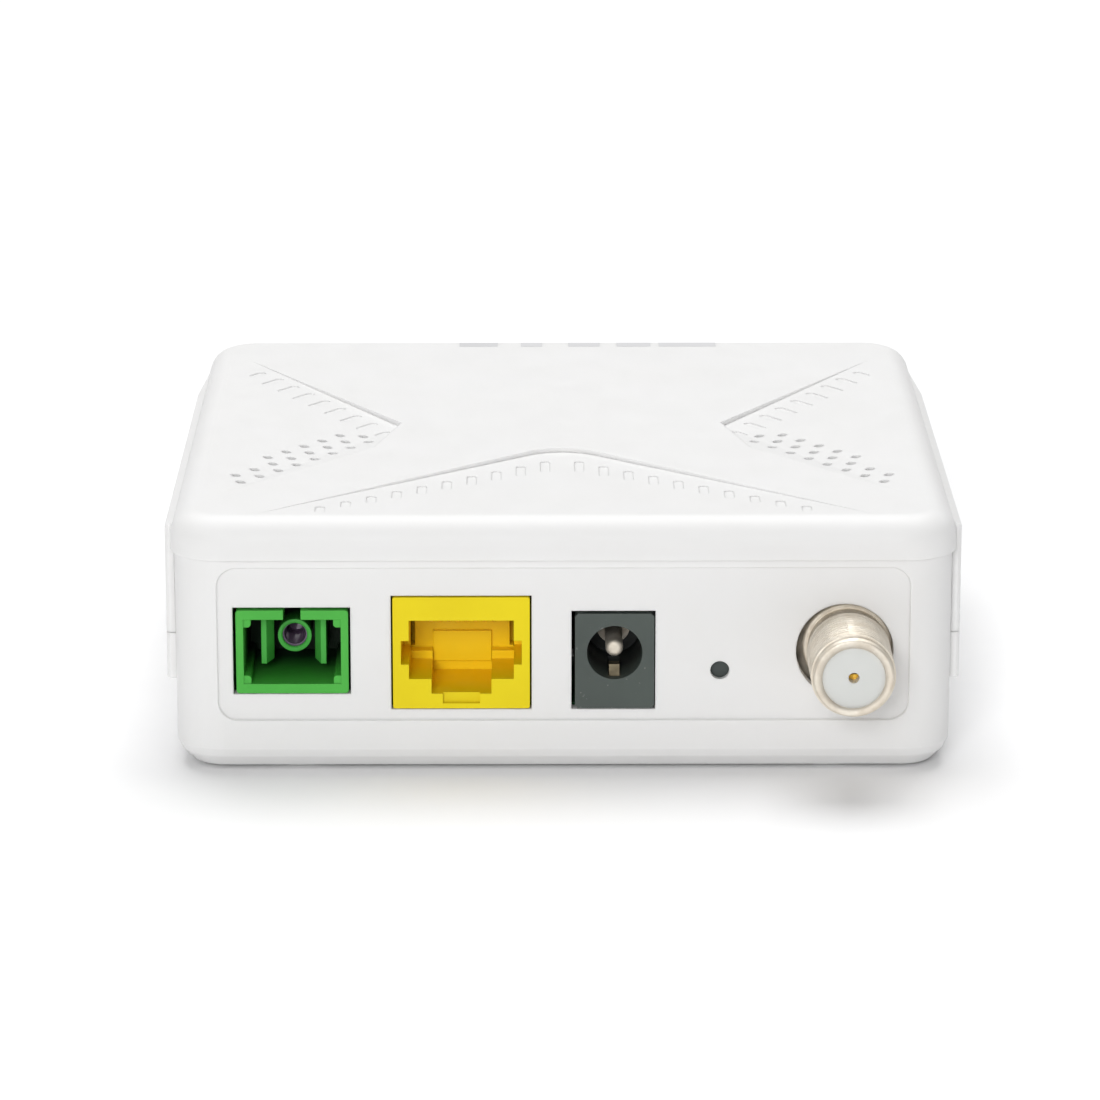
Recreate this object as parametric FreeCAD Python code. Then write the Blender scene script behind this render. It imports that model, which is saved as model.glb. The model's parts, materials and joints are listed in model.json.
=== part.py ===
import FreeCAD, Part
import math
import os

from FreeCAD import Vector

# Optical network terminal: a small plastic box with one fibre port, one Ethernet port,
# a power jack, a recessed reset button and a screw-on coaxial port in a single row.
# Millimetres. X runs along the port row, +Y points away from the port face, +Z is up.
# The origin is the centre of the case outline on the plane the feet stand on.

# ---- case ----
CASE_WIDTH = 88.6            # lower case, side wall to side wall
CASE_DEPTH = 88.0            # lower case, port face to indicator face
CASE_HEIGHT = 30.0           # resting plane to the flat of the cover
CORNER_RADIUS = 5.6          # upright corners of the lower case
WALL = 2.0                   # side walls
FLOOR = 2.0                  # bottom plate
ROOF = 1.8                   # cover plate
FOOT_HEIGHT = 0.5
FOOT_RADIUS = 4.0
SEAM_HEIGHT = 25.3           # where the cover meets the lower case
COVER_OVERHANG = 0.4         # cover stands out past the lower case all round
COVER_EDGE_RADIUS = 3.0      # rounding between cover walls and cover plate
TONGUE_HEIGHT = 1.5          # inner lip of the lower case that centres the cover
BEVEL_TOP = 2.9              # the lower case starts to draw in below this height
BEVEL_BREAK = 1.9            # and draws in faster below this one
BEVEL_INSET = 0.5
UNDERSIDE_INSET = 1.9

# ---- cover decoration ----
RELIEF_DEPTH = 0.6           # deepest point of the three shallow pockets in the cover
HOLE_WIDTH = 1.0             # vent holes beside the pockets
GROOVE_WIDTH = 1.1           # blind grooves inside the pockets
GROOVE_DEPTH = 0.15

# ---- side skirts: shallow raised strips along both side walls ----
SKIRT_PROUD = 1.1
SKIRT_START = 5.8            # distance behind the port face
SKIRT_LENGTH = 72.0
SKIRT_TAPER = 10.0           # length over which the far end runs out into the wall
SKIRT_TOP = 28.2
SKIRT_TOP_DROP = 0.6         # its top slopes down and outwards by this much
SKIRT_SPLIT = 15.1           # cover part above, lower case part below
SKIRT_BOTTOM = 9.7

# ---- port panel: shallow recess that frames the whole port row ----
PANEL_DEPTH = 0.3
PANEL_WIDTH = 78.4
PANEL_BOTTOM = 6.4
PANEL_TOP = 24.3
PANEL_RADIUS = 2.2
PANEL_SLOPE = 0.2            # its sides slope outwards by this much over twice the depth

# ---- circuit board ----
BOARD_THICKNESS = 1.6
BOARD_TOP = 7.7
BOARD_GAP = 0.7              # board edge to inside of wall

# ---- port positions along the row and connector sizes ----
FIBRE_X = -30.78
FIBRE_WIDTH = 12.75
FIBRE_HEIGHT = 9.8
FIBRE_BOTTOM = 9.53
FIBRE_LENGTH = 24.0
FERRULE_RADIUS = 1.25

ETHERNET_X = -11.6
ETHERNET_WIDTH = 15.55
ETHERNET_HEIGHT = 13.15
ETHERNET_LENGTH = 18.0
CONTACT_PITCH = 1.02
CONTACT_COUNT = 8

POWER_X = 5.8
POWER_WIDTH = 9.0
POWER_HEIGHT = 11.2
POWER_LENGTH = 14.3
POWER_HOLE_RADIUS = 3.15
POWER_HOLE_DEPTH = 10.6
POWER_PIN_RADIUS = 1.0
POWER_AXIS = 6.6             # hole axis above the board

RESET_X = 17.75
RESET_Z = 12.2
RESET_HOLE_RADIUS = 1.08
RESET_SKIN = 0.8             # wall left round the pin hole, in front of the button's room
RESET_TRAVEL = 0.25

COAX_X = 32.3
COAX_Z = 14.5
COAX_HOLE_X = 31.9           # the case hole is a little off the connector axis
COAX_HOLE_RADIUS = 5.53
COAX_BARREL_RADIUS = 9.525 / 2
COAX_REACH = 10.5            # barrel length outside the port face
COAX_LEAD = 1.1              # plain lead-in at the mouth, a little slimmer than the thread
COAX_BORE_RADIUS = 3.55

# ---- indicators ----
LAMP_COUNT = 5
LAMP_PITCH = 6.7
LAMP_MIDDLE_X = 3.0
LAMP_Z = 20.0
PIPE_RADIUS = 1.0

# ---- fixings ----
CASE_SCREW_X = 38.5
CASE_SCREW_Y = (0.0, 36.0)
BOARD_SCREW_X = 26.0
BOARD_SCREW_Y = 28.0
CASE_SCREW_SEAT = 5.0        # height of the face under each screw head
KEYHOLE_SPACING = 50.0
KEYHOLE_Y = 8.0
KEYHOLE_RADIUS = 3.5
KEYHOLE_SLOT = 3.6
KEYHOLE_RUN = 6.5

# ---- worked out from the above ----
PORT_FACE = -CASE_DEPTH / 2
PANEL_FACE = PORT_FACE + PANEL_DEPTH
INNER_PORT_WALL = PORT_FACE + WALL
INDICATOR_FACE = CASE_DEPTH / 2
UNDERSIDE = FOOT_HEIGHT
FLOOR_TOP = UNDERSIDE + FLOOR
BOARD_BOTTOM = BOARD_TOP - BOARD_THICKNESS
ROOF_UNDER = CASE_HEIGHT - ROOF
FIBRE_Z = FIBRE_BOTTOM + FIBRE_HEIGHT / 2
POWER_Z = BOARD_TOP + POWER_AXIS
SKIRT_Y0 = PORT_FACE + SKIRT_START
SKIRT_Y1 = SKIRT_Y0 + SKIRT_LENGTH
X_AXIS = Vector(1, 0, 0)
Y_AXIS = Vector(0, 1, 0)
Z_AXIS = Vector(0, 0, 1)


# ================= general shapes =================

def box(x0, x1, y0, y1, z0, z1):
    return Part.makeBox(x1 - x0, y1 - y0, z1 - z0, Vector(x0, y0, z0))


def box_at(x, y, width, depth, z0, z1):
    """Box centred on a plan point."""
    return box(x - width / 2, x + width / 2, y - depth / 2, y + depth / 2, z0, z1)


def post(radius, x, y, z0, z1):
    """Upright cylinder."""
    return Part.makeCylinder(radius, z1 - z0, Vector(x, y, z0), Z_AXIS)


def rod(radius, x, z, y0, y1):
    """Cylinder along Y."""
    return Part.makeCylinder(radius, y1 - y0, Vector(x, y0, z), Y_AXIS)


def cross_rod(radius, y, z, x0, x1):
    """Cylinder along X."""
    return Part.makeCylinder(radius, x1 - x0, Vector(x0, y, z), X_AXIS)


def join(shapes):
    """One solid out of overlapping shapes, without leftover seams."""
    whole = shapes[0].multiFuse(shapes[1:]) if len(shapes) > 1 else shapes[0]
    return whole.removeSplitter()


def remove(shape, cutters):
    """Cut several tools out of a shape in one go."""
    return shape.cut(Part.makeCompound(cutters))


def rounded_outline(width, depth, radius, z):
    """Closed rectangle with round corners, lying flat at height z, centred on the Z axis."""
    arcs = []
    for turn, (side_x, side_y) in enumerate(((1, 1), (-1, 1), (-1, -1), (1, -1))):
        centre = Vector(side_x * (width / 2 - radius), side_y * (depth / 2 - radius), z)
        arcs.append(Part.makeCircle(radius, centre, Z_AXIS, 90 * turn, 90 * turn + 90))
    edges = []
    for arc, following in zip(arcs, arcs[1:] + arcs[:1]):
        edges.append(arc)
        edges.append(Part.makeLine(arc.valueAt(arc.LastParameter),
                                   following.valueAt(following.FirstParameter)))
    return Part.Wire(edges)


def rounded_block(width, depth, radius, z0, z1):
    face = Part.Face(rounded_outline(width, depth, radius, z0))
    return face.extrude(Vector(0, 0, z1 - z0))


def sloped_panel(x, z, width, height, radius, slope, y0, y1):
    """Upright recess cutter whose sides close in by the slope between y0 and y1."""
    outer = rounded_outline(width + 2 * slope, height + 2 * slope, radius + slope, y1 - y0)
    inner = rounded_outline(width, height, radius, 0)
    slab = Part.makeLoft([inner, outer], True, True)
    slab.rotate(Vector(0, 0, 0), X_AXIS, 90)
    slab.translate(Vector(x, y1, z))
    return slab


def oblong(start, end, width, z0, z1):
    """Upright prism with round ends centred on two plan points."""
    first = Vector(start[0], start[1], z0)
    last = Vector(end[0], end[1], z0)
    along = (last - first).multiply(width / 2 / (last - first).Length)
    side = Vector(-along.y, along.x, 0)
    edges = [Part.makeLine(first + side, last + side),
             Part.Arc(last + side, last + along, last - side).toShape(),
             Part.makeLine(last - side, first - side),
             Part.Arc(first - side, first - along, first + side).toShape()]
    return Part.Face(Part.Wire(edges)).extrude(Vector(0, 0, z1 - z0))


def bent_strip(path, thickness, x, width):
    """Strip of sheet metal folded along (y, z) points, with its width along X."""
    points = [Vector(0, y, z) for y, z in path]
    normals = []
    for start, end in zip(points, points[1:]):
        run = (end - start).normalize()
        normals.append(Vector(0, -run.z, run.y))
    upper = []
    lower = []
    for point, before, after in zip(points, normals[:1] + normals, normals + normals[-1:]):
        mitre = before + after
        offset = mitre * (thickness / mitre.dot(mitre))
        upper.append(point + offset)
        lower.append(point - offset)
    outline = Part.makePolygon(upper + lower[::-1] + upper[:1])
    strip = Part.Face(outline).extrude(Vector(width, 0, 0))
    strip.translate(Vector(x - width / 2, 0, 0))
    return strip


def pyramid_pocket(peak, rim, stretch):
    """Cutter with flat sides from a low peak through the rim points and on past them."""
    outer = [peak + (point - peak) * stretch for point in rim]
    faces = [Part.Face(Part.makePolygon(outer + outer[:1]))]
    for first, second in zip(outer, outer[1:] + outer[:1]):
        faces.append(Part.Face(Part.makePolygon([peak, first, second, peak])))
    return Part.Solid(Part.Shell(faces))


# ================= case =================

def case_outline(inset, z):
    """Outline of the lower case, drawn in by an inset."""
    return rounded_outline(CASE_WIDTH - 2 * inset, CASE_DEPTH - 2 * inset,
                           CORNER_RADIUS - inset, z)


def case_layer(inset, z0, z1):
    return Part.Face(case_outline(inset, z0)).extrude(Vector(0, 0, z1 - z0))


def both_sides(make):
    """The same feature on the left (-1) and on the right (+1)."""
    return [make(-1), make(1)]


def skirt(side, inner, z0, z1):
    """Raised strip along one side wall, from an inner offset out to its full width."""
    near = side * inner
    wall = side * CASE_WIDTH / 2
    far = side * (CASE_WIDTH / 2 + SKIRT_PROUD)
    plan = [(near, SKIRT_Y0), (far - side * 0.4, SKIRT_Y0), (far, SKIRT_Y0 + 0.4),
            (far, SKIRT_Y1 - SKIRT_TAPER), (wall + side * 0.1, SKIRT_Y1), (near, SKIRT_Y1)]
    corners = [Vector(x, y, z0) for x, y in plan]
    return Part.Face(Part.makePolygon(corners + corners[:1])).extrude(Vector(0, 0, z1 - z0))


def skirt_top_slope(side):
    """Cutter that slopes the top of a skirt down and outwards from the cover."""
    rounding = COVER_EDGE_RADIUS - math.sqrt(
        COVER_EDGE_RADIUS ** 2 - (SKIRT_TOP - CASE_HEIGHT + COVER_EDGE_RADIUS) ** 2)
    near = side * (CASE_WIDTH / 2 + COVER_OVERHANG - rounding)
    far = side * (CASE_WIDTH / 2 + SKIRT_PROUD + 0.05)
    profile = [(near, SKIRT_TOP), (far, SKIRT_TOP - SKIRT_TOP_DROP),
               (far, CASE_HEIGHT), (near, CASE_HEIGHT)]
    corners = [Vector(x, SKIRT_Y0 - 1, z) for x, z in profile]
    return Part.Face(Part.makePolygon(corners + corners[:1])).extrude(
        Vector(0, SKIRT_LENGTH + 2, 0))


def screw_points():
    return [(side * CASE_SCREW_X, y) for side in (-1, 1) for y in CASE_SCREW_Y]


def port_openings():
    """Cutters for the row of connectors, through the port wall."""
    y0 = PORT_FACE - 1
    y1 = INNER_PORT_WALL + 1
    fibre = box(FIBRE_X - FIBRE_WIDTH / 2 - 0.35, FIBRE_X + FIBRE_WIDTH / 2 + 0.25,
                y0, y1, FIBRE_BOTTOM - 0.1, FIBRE_BOTTOM + FIBRE_HEIGHT + 0.35)
    ethernet = box(ETHERNET_X - ETHERNET_WIDTH / 2 - 0.2, ETHERNET_X + ETHERNET_WIDTH / 2 + 0.2,
                   y0, y1, BOARD_TOP - 0.1, BOARD_TOP + ETHERNET_HEIGHT + 0.2)
    power = box(POWER_X - POWER_WIDTH / 2 - 0.4, POWER_X + POWER_WIDTH / 2 + 0.12,
                y0, y1, BOARD_TOP - 0.1, BOARD_TOP + POWER_HEIGHT + 0.35)
    coax = rod(COAX_HOLE_RADIUS, COAX_HOLE_X, COAX_Z, y0, y1)
    reset = rod(RESET_HOLE_RADIUS, RESET_X, RESET_Z, y0, y1)
    button_room = rod(1.75, RESET_X, RESET_Z, PANEL_FACE + RESET_SKIN, y1)
    return [fibre, ethernet, power, coax, reset, button_room]


def keyhole(side):
    """Wall-mount keyhole: a round entry with a narrow slot towards the indicator face."""
    x = side * KEYHOLE_SPACING / 2
    entry = post(KEYHOLE_RADIUS, x, KEYHOLE_Y, 0, FLOOR_TOP + 1)
    slot = oblong((x, KEYHOLE_Y), (x, KEYHOLE_Y + KEYHOLE_RUN), KEYHOLE_SLOT, 0, FLOOR_TOP + 1)
    return entry.fuse(slot)


def floor_vents():
    """Two banks of parallel slots through the floor."""
    slots = []
    for middle_y in (-12.0, 22.0):
        for step in range(-4, 5):
            x = 4.0 * step
            slots.append(oblong((x, middle_y - 6), (x, middle_y + 6), 1.8, 0, FLOOR_TOP + 1))
    return slots


def board_supports():
    """Pillars under the board; the two near the indicator end take screws."""
    pillars = []
    for x, y in ((-21.8, -34.0), (23.4, -34.0)):
        pillars.append(post(2.0, x, y, FLOOR_TOP - 1, BOARD_BOTTOM))
    for side in (-1, 1):
        pillar = post(2.8, side * BOARD_SCREW_X, BOARD_SCREW_Y, FLOOR_TOP - 1, BOARD_BOTTOM)
        pilot = post(1.25, side * BOARD_SCREW_X, BOARD_SCREW_Y, FLOOR_TOP, BOARD_BOTTOM + 1)
        pillars.append(pillar.cut(pilot))
    return pillars


def make_bottom_case():
    bevel = Part.makeLoft([case_outline(BEVEL_INSET, BEVEL_BREAK), case_outline(0, BEVEL_TOP)],
                          True, True)
    underside = Part.makeLoft([case_outline(UNDERSIDE_INSET, UNDERSIDE),
                               case_outline(BEVEL_INSET, BEVEL_BREAK)], True, True)
    shell = join([case_layer(0, BEVEL_TOP, SEAM_HEIGHT), bevel, underside])
    tongue = case_layer(WALL / 2 + 0.1, SEAM_HEIGHT - 1, SEAM_HEIGHT + TONGUE_HEIGHT)
    feet = [post(FOOT_RADIUS, sx * 30, sy * 37, 0, UNDERSIDE + 0.5)
            for sx in (-1, 1) for sy in (-1, 1)]
    skirts = both_sides(lambda s: skirt(s, CASE_WIDTH / 2 - 0.5, SKIRT_BOTTOM, SKIRT_SPLIT - 0.03))
    shell = join([shell, tongue] + feet + skirts)
    shell = shell.cut(case_layer(WALL, FLOOR_TOP, CASE_HEIGHT))

    bosses = [post(4.0, x, y, FLOOR_TOP - 1, BOARD_TOP + 0.3) for x, y in screw_points()]
    shell = join([shell] + bosses + board_supports())

    cutters = [sloped_panel(0, (PANEL_BOTTOM + PANEL_TOP) / 2, PANEL_WIDTH,
                            PANEL_TOP - PANEL_BOTTOM, PANEL_RADIUS, PANEL_SLOPE,
                            PORT_FACE - PANEL_DEPTH, PANEL_FACE)]
    cutters += port_openings()
    cutters += both_sides(keyhole)
    cutters += floor_vents()
    for x, y in screw_points():
        cutters.append(post(3.3, x, y, 0, CASE_SCREW_SEAT))
        cutters.append(post(1.7, x, y, 0, BOARD_TOP + 1))
    for x in lamp_positions():
        cutters.append(rod(PIPE_RADIUS + 0.05, x, LAMP_Z, INDICATOR_FACE - WALL - 1,
                           INDICATOR_FACE + 1))
    return remove(shell, cutters)


def side_relief(side):
    """Shallow pocket on the cover: low at its inner point, level with the plate outside."""
    inner_x = side * 19.3
    outer_x = side * 39.3
    peak = Vector(inner_x, 0.3, CASE_HEIGHT - RELIEF_DEPTH)
    rim = [Vector(outer_x, 32.2, CASE_HEIGHT),
           Vector(inner_x, 0.3, CASE_HEIGHT),
           Vector(side * 22.5, -12.0, CASE_HEIGHT),
           Vector(outer_x, -32.6, CASE_HEIGHT)]
    return pyramid_pocket(peak, rim, 1.8)


def port_side_relief():
    """Wide shallow triangle beside the port face, lowest at its rounded point."""
    base_y = PORT_FACE + 2.4
    point_y = PORT_FACE + 34.2
    half = 35.2
    corners = [Vector(-half, base_y, CASE_HEIGHT - 1), Vector(half, base_y, CASE_HEIGHT - 1),
               Vector(0, point_y, CASE_HEIGHT - 1)]
    prism = Part.Face(Part.makePolygon(corners + corners[:1])).extrude(Vector(0, 0, 2))
    point_edge = [edge for edge in prism.Edges
                  if abs(edge.CenterOfMass.x) < 0.01 and abs(edge.CenterOfMass.y - point_y) < 0.01]
    prism = prism.makeFillet(5.5, point_edge)
    slope = Part.makePolygon([Vector(-half, base_y, CASE_HEIGHT),
                              Vector(-half, point_y, CASE_HEIGHT - RELIEF_DEPTH),
                              Vector(-half, point_y, CASE_HEIGHT + 1),
                              Vector(-half, base_y, CASE_HEIGHT + 1),
                              Vector(-half, base_y, CASE_HEIGHT)])
    wedge = Part.Face(slope).extrude(Vector(2 * half, 0, 0))
    return prism.common(wedge)


def engraved(prisms, relief):
    """Shallow grooves: the prisms cut a little below the floor of a relief pocket."""
    lowered = relief.copy()
    lowered.translate(Vector(0, 0, -GROOVE_DEPTH))
    return Part.makeCompound(prisms).common(lowered)


def dotted_vents(side):
    """Three staggered lines of short holes along the near edge of a side pocket."""
    first = Vector(38.0, -24.1, 0)
    next_column = Vector(-2.03, 2.8, 0)
    next_line = Vector(-0.75, -2.95, 0)
    holes = []
    for line in (-1, 0, 1):
        columns = range(2, 7) if line == -1 else range(8)
        for column in columns:
            point = first + next_column * column + next_line * line
            x = side * point.x
            holes.append(oblong((x + side * 0.1, point.y + 0.2), (x - side * 0.1, point.y - 0.2),
                                HOLE_WIDTH, ROOF_UNDER - 1, CASE_HEIGHT + 1))
    return holes


def slanted_grooves(side):
    """Line of slanted blind grooves along the far edge of a side pocket."""
    first = Vector(37.9, 25.0, 0)
    step = Vector(-2.06, -3.5, 0)
    along = Vector(-0.56, 0.83, 0)
    count = 9
    grooves = []
    for index in range(count):
        point = first + step * index
        at_end = index in (0, count - 1)
        reach = along * (0.8 if at_end else 1.35)
        near = point - reach
        far = point + reach
        grooves.append(oblong((side * near.x, near.y), (side * far.x, far.y),
                              GROOVE_WIDTH, CASE_HEIGHT - 2, CASE_HEIGHT + 1))
    return engraved(grooves, side_relief(side))


def port_side_grooves():
    """Blind grooves inside both far edges of the port side triangle, shorter to its ends."""
    grooves = []
    for side in (-1, 1):
        for index in range(10):
            x = side * (2.0 + 2.85 * index)
            far_y = PORT_FACE + 27.2 - 2.38 * index
            length = 4.2 - 0.28 * index
            grooves.append(oblong((x, far_y - length), (x, far_y),
                                  GROOVE_WIDTH, CASE_HEIGHT - 2, CASE_HEIGHT + 1))
    return engraved(grooves, port_side_relief())


def make_top_cover():
    width = CASE_WIDTH + 2 * COVER_OVERHANG
    depth = CASE_DEPTH + 2 * COVER_OVERHANG
    radius = CORNER_RADIUS + COVER_OVERHANG
    cover = rounded_block(width, depth, radius, SEAM_HEIGHT, CASE_HEIGHT)
    rim = [edge for edge in cover.Edges if abs(edge.BoundBox.ZMin - CASE_HEIGHT) < 0.001]
    cover = cover.makeFillet(COVER_EDGE_RADIUS, rim)
    for side in (-1, 1):
        strip = skirt(side, CASE_WIDTH / 2 + 0.01, SKIRT_SPLIT + 0.03, SKIRT_TOP)
        cover = join([cover, strip.cut(skirt_top_slope(side))])
    cavity = rounded_block(width - 2 * WALL, depth - 2 * WALL, radius - WALL,
                           SEAM_HEIGHT - 1, ROOF_UNDER)
    rebate = case_layer(WALL / 2, SEAM_HEIGHT - 1, SEAM_HEIGHT + TONGUE_HEIGHT + 0.2)
    cover = remove(cover, [cavity, rebate])

    bosses = [post(3.4, x, y, BOARD_TOP + 0.4, ROOF_UNDER + 0.5) for x, y in screw_points()]
    cover = join([cover] + bosses)
    cutters = [post(1.5, x, y, BOARD_TOP, BOARD_TOP + 12) for x, y in screw_points()]
    cutters += both_sides(side_relief)
    cutters.append(port_side_relief())
    cutters += dotted_vents(-1) + dotted_vents(1)
    cutters += both_sides(slanted_grooves)
    cutters.append(port_side_grooves())
    for cutter in cutters:
        cover = cover.cut(cutter)
    return cover


def cross_recess(x, y, size, z0, z1):
    """Cutter for the driver recess in a screw head."""
    bar = box_at(x, y, size, size / 4, z0, z1)
    return bar.fuse(box_at(x, y, size / 4, size, z0, z1))


def make_case_screws():
    """Screws from below through the lower case into the cover bosses."""
    screws = []
    seat = CASE_SCREW_SEAT
    for x, y in screw_points():
        head = post(2.75, x, y, seat - 2.0, seat)
        shank = post(1.45, x, y, seat - 0.5, seat + 12)
        screw = join([head, shank]).cut(cross_recess(x, y, 3.0, seat - 3.0, seat - 0.9))
        screws.append(screw)
    return screws


def make_board_screws():
    screws = []
    for side in (-1, 1):
        x = side * BOARD_SCREW_X
        head = post(2.5, x, BOARD_SCREW_Y, BOARD_TOP, BOARD_TOP + 1.6)
        shank = post(1.2, x, BOARD_SCREW_Y, FLOOR_TOP + 0.5, BOARD_TOP + 0.5)
        screw = join([head, shank])
        screws.append(screw.cut(cross_recess(x, BOARD_SCREW_Y, 2.8, BOARD_TOP + 0.8,
                                             BOARD_TOP + 2)))
    return screws


# ================= fibre port =================

LATCH_FRONT = 4.0            # hook tips behind the panel
HOLDER_RECESS = 6.6          # sleeve holder tip behind the panel
MID_WALL = 13.5              # dividing wall of the latch piece behind the panel
MOUTH_RADIUS = 1.42          # entry of the sleeve holder, clear of the ferrule
HOOK_INNER = 3.1             # inner faces of the hook arms, from the axis
HOOK_BARB = 0.75             # barbs stand this far inside the arms
HOOK_LOW = 2.6               # arms reach this far below the axis
HOOK_HIGH = 3.6
MODULE_Y = PANEL_FACE + FIBRE_LENGTH + 7.5   # middle of the optical module's square body


def make_fibre_housing():
    """Square green sleeve with keyway, corner ribs and two pegs down to the board."""
    y0 = PANEL_FACE
    y1 = PANEL_FACE + FIBRE_LENGTH
    half = FIBRE_WIDTH / 2
    top = FIBRE_BOTTOM + FIBRE_HEIGHT
    body = box(FIBRE_X - half, FIBRE_X + half, y0, y1, FIBRE_BOTTOM, top)
    corner_edges = [e for e in body.Edges if abs(e.tangentAt(e.FirstParameter).y) > 0.9]
    body = body.makeFillet(0.4, corner_edges)
    bore = box(FIBRE_X - half + 0.85, FIBRE_X + half - 0.85, y0 - 1, y1 + 1,
               FIBRE_BOTTOM + 1.1, top - 1.1)
    body = body.cut(bore)
    ribs = []
    for side in (-1, 1):
        for level in (-1, 1):
            x = FIBRE_X + side * (half - 1.2)
            z = FIBRE_Z + level * (FIBRE_HEIGHT / 2 - 1.5)
            rib = box(x - 0.5, x + 0.5, y0 + 0.15, y0 + MID_WALL - 0.05, z - 0.55, z + 0.55)
            inner = [e for e in rib.Edges if abs(e.tangentAt(e.FirstParameter).y) > 0.9
                     and abs(e.CenterOfMass.x - FIBRE_X) < abs(x - FIBRE_X)
                     and abs(e.CenterOfMass.z - FIBRE_Z) < abs(z - FIBRE_Z)]
            ribs.append(rib.makeFillet(0.4, inner))
    keyway = box(FIBRE_X - 1.0, FIBRE_X + 1.0, y0 - 1, y0 + 9, top - 1.5, top + 1)
    body = join([body] + ribs).cut(keyway)
    pads = []
    for side in (-1, 1):
        x = FIBRE_X + side * 4.6
        pads.append(box_at(x, y0 + 6, 2.4, 5.0, BOARD_TOP, FIBRE_BOTTOM + 0.2))
        pads.append(box_at(x, y1 - 4, 2.4, 5.0, BOARD_TOP, FIBRE_BOTTOM + 0.2))
        pads.append(post(0.8, x, y1 - 4, BOARD_BOTTOM - 0.8, BOARD_TOP + 0.2))
    return join([body] + pads)


def latch_hook(side, mid_y, tip_y):
    """One flexing arm whose tip slopes inwards to a barb."""
    outer = HOOK_INNER + 0.6
    barb = HOOK_INNER - HOOK_BARB
    plan = [(outer, mid_y + 0.2), (outer, tip_y), (HOOK_INNER, tip_y), (barb, tip_y + 2.2),
            (barb, tip_y + 2.8), (HOOK_INNER, tip_y + 3.4), (HOOK_INNER, mid_y + 0.2)]
    corners = [Vector(FIBRE_X + side * x, y, FIBRE_Z - HOOK_LOW) for x, y in plan]
    outline = Part.Face(Part.makePolygon(corners + corners[:1]))
    return outline.extrude(Vector(0, 0, HOOK_LOW + HOOK_HIGH))


def make_fibre_latch():
    """Inner piece: dividing wall, two hooks and the tube that holds the alignment sleeve."""
    wall_y = PANEL_FACE + MID_WALL
    half = FIBRE_WIDTH / 2 - 0.9
    wall = box(FIBRE_X - half, FIBRE_X + half, wall_y, wall_y + 1.6,
               FIBRE_BOTTOM + 1.15, FIBRE_BOTTOM + FIBRE_HEIGHT - 1.15)
    tip_y = PANEL_FACE + HOLDER_RECESS
    holder = rod(1.93, FIBRE_X, FIBRE_Z, tip_y, wall_y + 3.7)
    hooks = both_sides(lambda side: latch_hook(side, wall_y, PANEL_FACE + LATCH_FRONT))
    piece = join([wall, holder] + hooks)
    sleeve_room = rod(1.65, FIBRE_X, FIBRE_Z, tip_y + 0.6, wall_y + 5)
    mouth = rod(MOUTH_RADIUS, FIBRE_X, FIBRE_Z, tip_y - 1, wall_y)
    lead_in = Part.makeCone(MOUTH_RADIUS + 0.15, MOUTH_RADIUS, 0.15,
                            Vector(FIBRE_X, tip_y, FIBRE_Z), Y_AXIS)
    return remove(piece, [sleeve_room, mouth, lead_in])


def sleeve_ends():
    return PANEL_FACE + HOLDER_RECESS + 0.7, PANEL_FACE + MID_WALL + 3.5


def make_alignment_sleeve():
    """Split ceramic sleeve that lines up two fibre ferrules."""
    y0, y1 = sleeve_ends()
    sleeve = rod(1.6, FIBRE_X, FIBRE_Z, y0, y1).cut(
        rod(FERRULE_RADIUS + 0.005, FIBRE_X, FIBRE_Z, y0 - 1, y1 + 1))
    split = box(FIBRE_X - 0.25, FIBRE_X + 0.25, y0 - 1, y1 + 1, FIBRE_Z, FIBRE_Z + 3)
    return sleeve.cut(split)


def make_stub_ferrule():
    """Ceramic fibre stub fixed in the optical module, reaching half way into the sleeve."""
    y0 = sum(sleeve_ends()) / 2
    stub = rod(FERRULE_RADIUS, FIBRE_X, FIBRE_Z, y0, y0 + 9.0)
    tip = [edge for edge in stub.Edges if abs(edge.CenterOfMass.y - y0) < 0.001]
    return stub.makeChamfer(0.3, tip)


def make_optical_module():
    """Metal body of the transceiver with its round nose inside the green housing."""
    _, sleeve_end = sleeve_ends()
    housing_end = PANEL_FACE + FIBRE_LENGTH
    nose = rod(3.0, FIBRE_X, FIBRE_Z, sleeve_end + 0.4, housing_end + 0.5)
    flange = rod(3.6, FIBRE_X, FIBRE_Z, housing_end + 0.3, housing_end + 2.0)
    body = box_at(FIBRE_X, MODULE_Y, 7.6, 11.0, FIBRE_Z - 3.8, FIBRE_Z + 3.8)
    stub_room = rod(FERRULE_RADIUS, FIBRE_X, FIBRE_Z, sleeve_end, sum(sleeve_ends()) / 2 + 9.0)
    return join([nose, flange, body]).cut(stub_room)


def make_optical_cans():
    """Three round cans: laser behind the module, one receiver on each side."""
    laser_y = MODULE_Y + 5.5
    laser = join([rod(2.8, FIBRE_X, FIBRE_Z, laser_y, laser_y + 1.2),
                  rod(2.35, FIBRE_X, FIBRE_Z, laser_y + 1.0, laser_y + 4.0)])
    cans = [laser]
    for side in (-1, 1):
        x = FIBRE_X + side * 3.8
        rim = cross_rod(2.7, MODULE_Y, FIBRE_Z, min(x, x + side), max(x, x + side))
        cap_end = x + side * 3.2
        cap = cross_rod(2.3, MODULE_Y, FIBRE_Z, min(x, cap_end), max(x, cap_end))
        cans.append(join([rim, cap]))
    return cans


def can_lead_points():
    """Plan points where the bent leads of the three cans reach the board."""
    points = []
    for offset in (-1.0, 1.0):
        points.append((FIBRE_X + offset, MODULE_Y + 11.0))
        points.append((FIBRE_X - 8.2, MODULE_Y + offset))
        points.append((FIBRE_X + 8.2, MODULE_Y + offset))
    return points


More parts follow.
